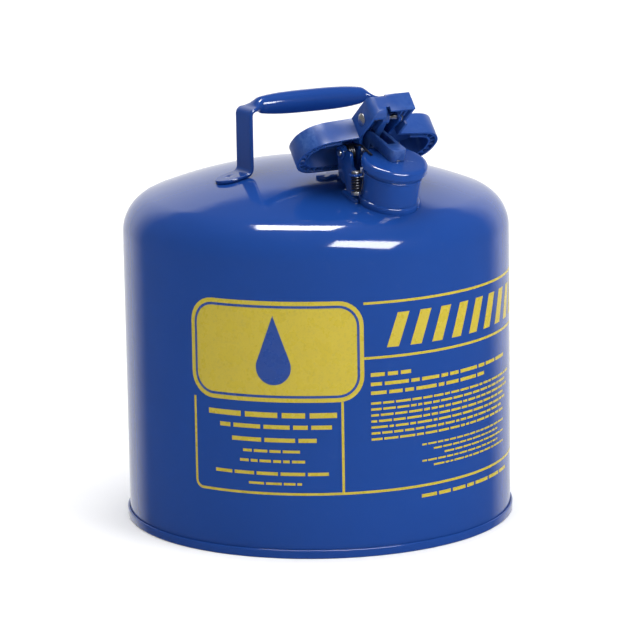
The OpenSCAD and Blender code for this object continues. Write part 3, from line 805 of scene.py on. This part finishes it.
def make_print():
    """Outlined panels, a badge with a drop, stripes for a heading and bars for small print."""
    left, right, base, top = -38.0, 86.0, 51.9, 202.4
    badge_left, badge_right, badge_low, badge_high = -38.8, 13.2, 125.4, 205.4
    divider, heading_base = 6.8, 159
    yellow = Print()

    # the panels' outline, which starts and ends at the badge
    r = 6
    corner = math.degrees(r * MM / WALL_R)
    bend = [(left + corner * (1 + c), base + r * (1 + s)) for c, s in arc(0, 0, 1, 180, 270, 6)]
    far_side = [(right, base), (right, top), (badge_right, top)]
    yellow.stroke([(left, badge_low)] + bend + far_side)
    yellow.stroke([(divider, badge_low), (divider, base + 1)])
    yellow.stroke([(badge_right, heading_base), (right - 0.4, heading_base)])
    yellow.fill(rounded_box(badge_left, badge_right, badge_low, badge_high, 20))

    # slanting stripes in place of the heading
    low, high, wide, lean = 166.5, 193.5, 3.7, 3.5
    for k in range(9):
        start = 20 + 7.4 * k
        foot, head = (start, low), (start + lean, high)
        yellow.fill([foot, (start + wide, low), (start + lean + wide, high), head])

    # rows of small print: first angle, last angle, middle height, height of the row
    under_badge = [(-33.2, 5.2, 115, 7), (-29.5, 3.7, 105.5, 5.5), (-25.7, -0.7, 95, 5.5)]
    under_badge += [(-22.3, -5.5, 86, 3.6), (-23.3, -4.1, 78, 3.6)]
    under_badge += [(-31.2, 4.9, 68, 4.4), (-20.7, -5.1, 60, 3.2)]
    beside = [(15.1, 27.5, 145.5, 5), (15.1, 71.7, 138, 4.6), (15.1, 57.2, 131, 4.6)]
    beneath = [(30.7, 73.4, 43.5, 4.6)]
    full = [(15.1, 77 - 3 * (k % 2) - k, 122.7 - 4.8 * k, 3) for k in range(7)]
    inset = [(31 + 4 * (k % 3), 71 - 5 * (k % 2), 85 - 4.4 * k, 2.4) for k in range(5)]
    for seed, row in enumerate(under_badge + beside + beneath + full + inset):
        start, end, middle, tall = row
        yellow.words(start, end, middle - tall / 2, middle + tall / 2, seed)
    yellow.finish("printed_panels", YELLOW, 0.10 * MM)

    # a line inside the badge's edge, and a drop in its middle
    blue = Print()
    in_x, in_z = 1.6, 4.4
    edge = (badge_left + in_x, badge_right - in_x, badge_low + in_z, badge_high - in_z)
    blue.stroke(rounded_box(*edge, 16), closed=True)
    middle, low, r, tip = (badge_left + badge_right) / 2, 153, 14, 194
    side = math.degrees(math.acos(r / (tip - low)))
    across = math.degrees(MM / WALL_R)
    drop = [(middle + across * c, z) for c, z in arc(0, low, r, 90 + side, 450 - side, 28)]
    blue.fill(drop + [(middle, tip)])
    blue.finish("printed_badge_mark", BLUE_INK, 0.18 * MM)


# ---------- pieces that keep the CAD's shape, with their edges rounded ----------


def make_finished_nodes():
    """Rounds the edges of every node that keeps its CAD shape."""
    # width of the rounding in mm, body, slot and material
    plan = {
        "hinge_bracket": (0.5, "can", "paint", PAINT),
        "trigger_yoke": (0.5, "can", "paint", PAINT),
        "arrester_retainer": (0.25, "can", "steel", STEEL),
        "arrester_end_cap": (0.3, "can", "steel", STEEL),
        "hinge_pin": (0.35, "can", "steel", STEEL),
        "hinge_pin_clip": (0.3, "can", "paint", PAINT),
        "trigger_pin": (0.3, "can", "steel", STEEL),
        "trigger_spacers": (0.3, "can", "steel", STEEL),
        "adjuster_nut": (0.3, "can", "steel", STEEL),
        "trigger_lever": (0.45, "trigger", "nylon", NYLON),
        "lid_arm": (0.6, "lid", "nylon", NYLON),
        "lid_gasket": (0.3, "lid", "gasket", RUBBER),
        "lid_plate": (0.3, "lid", "steel", STEEL),
        "lid_rivet": (0.4, "lid", "steel", STEEL),
        "lid_washer": (0.2, "lid", "steel", STEEL),
    }
    for node, (width, body, slot, material) in plan.items():
        finish_piece(softened(node, width * MM), body, material, [node])


# ---------- floor, light and camera ----------


def make_floor():
    """A pale floor that lights the can from below but isn't mirrored in its paint."""
    floor = bpy.data.meshes.new("floor")
    size = 14
    corners = [(-size, -size, 0), (size, -size, 0), (size, size, 0), (-size, size, 0)]
    floor.from_pydata(corners, [], [(0, 1, 2, 3)])
    piece = add_object("floor", floor)
    n = Nodes("floor")
    n.feed(Base_Color=n.mix(n.noise(6, 2), (0.90, 0.90, 0.90), (0.93, 0.93, 0.93)))
    n.fixed(Roughness=0.9)
    piece.data.materials.append(n.material)
    piece.visible_glossy = False


def make_world():
    """White backdrop low down behind the can and dim elsewhere; the camera sees white all round."""
    crest, dim = 0.88, 0.16
    world = bpy.data.worlds.new("studio")
    bpy.context.scene.world = world
    world.use_nodes = True
    tree = world.node_tree
    view = tree.nodes.new("ShaderNodeTexCoord").outputs["Generated"]

    def ramp(axis, start, end):
        """0 to crest as a direction turns towards an axis; start and end are cosines."""
        along = tree.nodes.new("ShaderNodeVectorMath")
        along.operation = "DOT_PRODUCT"
        along.inputs[1].default_value = axis
        tree.links.new(view, along.inputs[0])
        edge = tree.nodes.new("ShaderNodeMapRange")
        edge.inputs["From Min"].default_value = start
        edge.inputs["From Max"].default_value = end
        edge.inputs["To Max"].default_value = crest
        tree.links.new(along.outputs["Value"], edge.inputs["Value"])
        return edge.outputs["Result"]

    # the product of two ramps, over the dim level
    level = tree.nodes.new("ShaderNodeMath")
    level.operation = "MULTIPLY_ADD"
    behind = (-math.cos(FACING), -math.sin(FACING), 0)
    tree.links.new(ramp(behind, 0.55, 0.78), level.inputs[0])
    tree.links.new(ramp((0, 0, -1), -0.62, -0.56), level.inputs[1])
    level.inputs[2].default_value = dim
    seen = tree.nodes.new("ShaderNodeMath")
    seen.operation = "MAXIMUM"
    camera_ray = tree.nodes.new("ShaderNodeLightPath").outputs["Is Camera Ray"]
    tree.links.new(camera_ray, seen.inputs[0])
    tree.links.new(level.outputs["Value"], seen.inputs[1])
    background = tree.nodes["Background"]
    tree.links.new(seen.outputs["Value"], background.inputs["Strength"])
    background.inputs["Color"].default_value = (1, 1, 1, 1)


def placed(place, x, y, z):
    """The matrix of an object at a place, from the directions of its own axes."""
    return Matrix.Translation(place) @ Matrix((x, y, z)).transposed().to_4x4()


def add_light(name, place, along, length, depth, power):
    """A rectangular soft light aimed at the can's shoulder, its long side along a direction."""
    shoulder = Vector((0.12, -0.05, 0.24))
    along = Vector(along)
    light = bpy.data.lights.new(name, "AREA")
    light.shape = "RECTANGLE"
    light.size = length
    light.size_y = depth
    light.energy = power
    back = (Vector(place) - shoulder).normalized()
    x = (along - back * back.dot(along)).normalized()
    piece = bpy.data.objects.new(name, light)
    piece.matrix_world = placed(place, x, back.cross(x), back)
    bpy.context.scene.collection.objects.link(piece)
    return piece


def make_lights():
    """An even ceiling, a soft key, and two softboxes that only show as highlights."""
    sun = bpy.data.lights.new("ceiling", "SUN")
    sun.energy = 3.5
    sun.angle = math.radians(70)
    ceiling = bpy.data.objects.new("ceiling", sun)
    ceiling.visible_glossy = False
    bpy.context.scene.collection.objects.link(ceiling)
    key = add_light("key", (2.0, 0.9, 1.2), (0, 1, 0), 1.4, 1.2, 30)
    key.visible_glossy = False
    over = add_light("softbox_over", (-0.05, -0.22, 2.26), (1, 1, 0), 1.0, 0.55, 50)
    over.visible_diffuse = False
    front = add_light("softbox_front", (2.2, 0.05, 1.6), (0.22, 0.88, -0.44), 1.7, 0.75, 90)
    front.visible_diffuse = False


def make_camera():
    """Stands off to the spout's side of the can's front, a little above it."""
    distance = 2.81926
    pitch = math.radians(11.952)
    roll = math.radians(-0.912)
    aim_right, aim_height = 0.002137, 0.15779
    right = Vector((-math.sin(FACING), math.cos(FACING), 0))
    toward = Vector((math.cos(FACING), math.sin(FACING), 0))
    aim = aim_right * right + Vector((0, 0, aim_height))
    away = math.cos(pitch) * toward + Vector((0, 0, math.sin(pitch)))
    up = away.cross(right)
    x = math.cos(roll) * right + math.sin(roll) * up
    y = math.cos(roll) * up - math.sin(roll) * right
    data = bpy.data.cameras.new("camera")
    data.sensor_width = 36
    data.lens = 193.72
    camera = bpy.data.objects.new("camera", data)
    camera.matrix_world = placed(aim + distance * away, x, y, away)
    bpy.context.scene.collection.objects.link(camera)
    bpy.context.scene.camera = camera


make_body()
make_pan()
make_collar()
make_screen("outer_screen_woven", 19 * MM, "arrester_outer_screen")
make_screen("inner_screen_woven", 16.6 * MM, "arrester_inner_screen")
make_handle()
make_torsion_spring()
make_adjuster()
make_lid_cap()
make_print()
make_finished_nodes()
make_floor()
make_world()
make_lights()
make_camera()
bpy.context.scene.view_settings.view_transform = "Standard"
